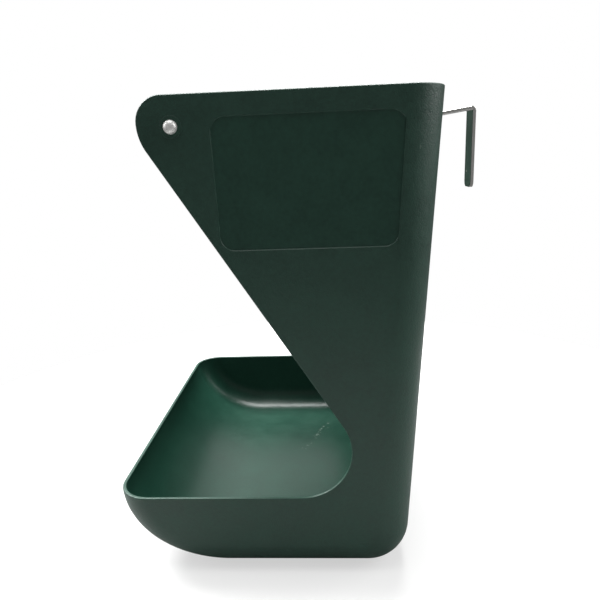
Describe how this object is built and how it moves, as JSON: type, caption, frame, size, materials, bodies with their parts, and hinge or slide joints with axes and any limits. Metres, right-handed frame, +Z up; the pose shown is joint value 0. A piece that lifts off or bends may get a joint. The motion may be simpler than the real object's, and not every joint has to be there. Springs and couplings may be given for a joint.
{
  "type": "hanging poultry feeder",
  "caption": "Moulded plastic feeder that hangs on a rail by strap hooks; feed slides from the tall hopper, behind a slanted front panel, into an open tray.",
  "frame": {"origin": "centre of the width on the flat underside that the feeder stands on, 52.4 mm in front of the foot of the back wall", "axes": "X across the width, the sunk panel on the +X side; Y from the tray at -Y to the hooks at +Y; Z up"},
  "size_m": [0.2732, 0.2314, 0.299],
  "materials": {
    "body_plastic": "fine matt grain outside, smoother inside",
    "panel_plastic": "same dark green plastic as the shell",
    "spacer_plastic": "natural plastic",
    "rod_steel": "plain bright steel",
    "cap_steel": "bright zinc plate",
    "hook_steel": "smooth zinc plate",
    "fastener_steel": "zinc plate"
  },
  "bodies": {
    "root": {"feeder_body": "body_plastic", "front_panel": "panel_plastic", "cross_rod": "rod_steel", "rod_cap_left": "cap_steel", "rod_spacer_left": "spacer_plastic", "hook_left": "hook_steel", "rod_cap_right": "cap_steel", "rod_spacer_right": "spacer_plastic", "hook_right": "hook_steel", "hook_bolt_upper_left": "fastener_steel", "hook_washer_upper_left": "fastener_steel", "hook_nut_upper_left": "fastener_steel", "hook_bolt_lower_left": "fastener_steel", "hook_washer_lower_left": "fastener_steel", "hook_nut_lower_left": "fastener_steel", "hook_bolt_upper_right": "fastener_steel", "hook_washer_upper_right": "fastener_steel", "hook_nut_upper_right": "fastener_steel", "hook_bolt_lower_right": "fastener_steel", "hook_washer_lower_right": "fastener_steel", "hook_nut_lower_right": "fastener_steel"}
  },
  "joints": []
}
